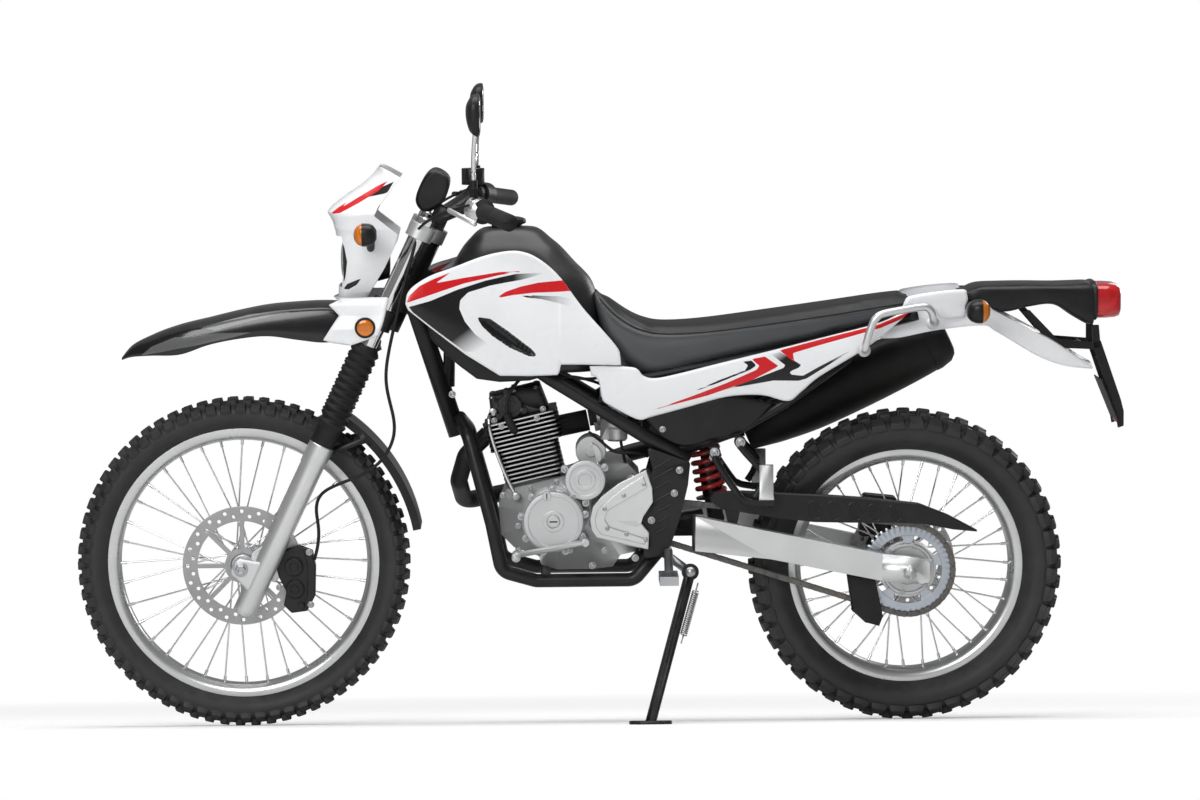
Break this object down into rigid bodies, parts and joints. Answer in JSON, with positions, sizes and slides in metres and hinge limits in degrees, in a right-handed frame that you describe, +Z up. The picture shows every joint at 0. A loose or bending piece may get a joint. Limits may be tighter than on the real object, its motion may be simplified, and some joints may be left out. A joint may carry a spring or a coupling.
{
  "type": "dual sport motorcycle",
  "caption": "Single-cylinder dual sport motorcycle with high front fender, knobbly tyres and wire wheels, leaning on its side stand.",
  "frame": {"origin": "on the ground below the middle of the parked machine's box", "axes": "+X from front to rear along the wheelbase, +Y to the machine's right, +Z up"},
  "size_m": [2.1483, 0.8139, 1.3496],
  "materials": {
    "amber_lens": "glossy",
    "black_paint": "satin",
    "black_plastic": "satin",
    "bright_steel": "brushed",
    "cast_alloy": "satin",
    "chrome_steel": "polished",
    "clear_lens": "glossy",
    "engine_black": "satin",
    "red_lens": "glossy",
    "rubber_black": "matte",
    "seat_vinyl": "matte",
    "tank_black": "satin",
    "tyre_black": "matte",
    "white_plastic": "glossy"
  },
  "bodies": {
    "chassis": {"carburettor_and_airbox": "engine_black", "chain": "bright_steel", "chain_guard": "black_plastic", "cylinder_and_head": "engine_black", "engine_cases": "cast_alloy", "exhaust_header": "black_paint", "foot_controls": "cast_alloy", "frame_cradle": "black_paint", "frame_side_tubes": "black_paint", "frame_spine": "black_paint", "fuel_cap": "black_plastic", "fuel_tank": "tank_black", "grab_bars": "cast_alloy", "muffler": "black_paint", "passenger_peg_brackets": "black_paint", "pivot_plates": "black_paint", "plate_bracket": "black_plastic", "rear_brake_caliper": "black_paint", "rear_fender": "black_plastic", "rear_lamps": "red_lens", "rear_shock": "bright_steel", "rear_subframe": "black_paint", "rider_pegs": "black_paint", "seat": "seat_vinyl", "side_and_tail_covers": "white_plastic", "side_stand_bracket": "black_paint", "swingarm": "cast_alloy", "tank_shrouds": "white_plastic"},
    "front_wheel": {"front_tyre": "tyre_black", "front_wire_wheel": "chrome_steel", "front_brake_disc": "bright_steel"},
    "rear_wheel": {"rear_tyre": "tyre_black", "rear_wire_wheel": "chrome_steel", "rear_brake_disc": "bright_steel", "sprocket": "bright_steel"},
    "steering": {"fork_lower_legs": "cast_alloy", "fork_tubes": "chrome_steel", "fork_boots": "rubber_black", "lower_fork_clamp": "black_paint", "top_fork_clamp": "cast_alloy", "handlebar": "bright_steel", "hand_controls": "black_plastic", "mirrors": "black_plastic", "instruments": "black_plastic", "headlight_cowl": "white_plastic", "headlamp": "clear_lens", "front_fender": "black_plastic", "fork_mudguard": "black_plastic", "front_signals": "amber_lens", "front_brake_caliper": "black_paint"},
    "side_stand": {"side_stand": "black_paint"},
    "left_peg": {"left_passenger_peg": "cast_alloy"},
    "right_peg": {"right_passenger_peg": "cast_alloy"}
  },
  "joints": [
    {"name": "steering_turn", "type": "hinge", "parent": "chassis", "child": "steering", "pos_m": [-0.67531, 0.11986, 0.31149], "axis": [0.4308, -0.1449, 0.8907], "range_deg": [-42, 42]},
    {"name": "front_wheel_spin", "type": "hinge", "parent": "steering", "child": "front_wheel", "pos_m": [-0.73216, 0.1151, 0.33821], "axis": [-0.0059, 0.9866, 0.1633], "continuous": true},
    {"name": "rear_wheel_spin", "type": "hinge", "parent": "chassis", "child": "rear_wheel", "pos_m": [0.62781, 0.12618, 0.32028], "axis": [-0.0059, 0.9866, 0.1633], "continuous": true},
    {"name": "side_stand_fold", "type": "hinge", "parent": "chassis", "child": "side_stand", "pos_m": [0.1816, -0.00781, 0.30536], "axis": [0.0059, -0.9999, -0.0113], "range_deg": [0, 126]},
    {"name": "left_peg_fold", "type": "hinge", "parent": "chassis", "child": "left_peg", "pos_m": [0.33667, -0.03502, 0.45082], "axis": [1, 0.0059, 0.0006], "range_deg": [0, 90]},
    {"name": "right_peg_fold", "type": "hinge", "parent": "chassis", "child": "right_peg", "pos_m": [0.33507, 0.23332, 0.49524], "axis": [-1, -0.0059, -0.0006], "range_deg": [0, 90]}
  ]
}
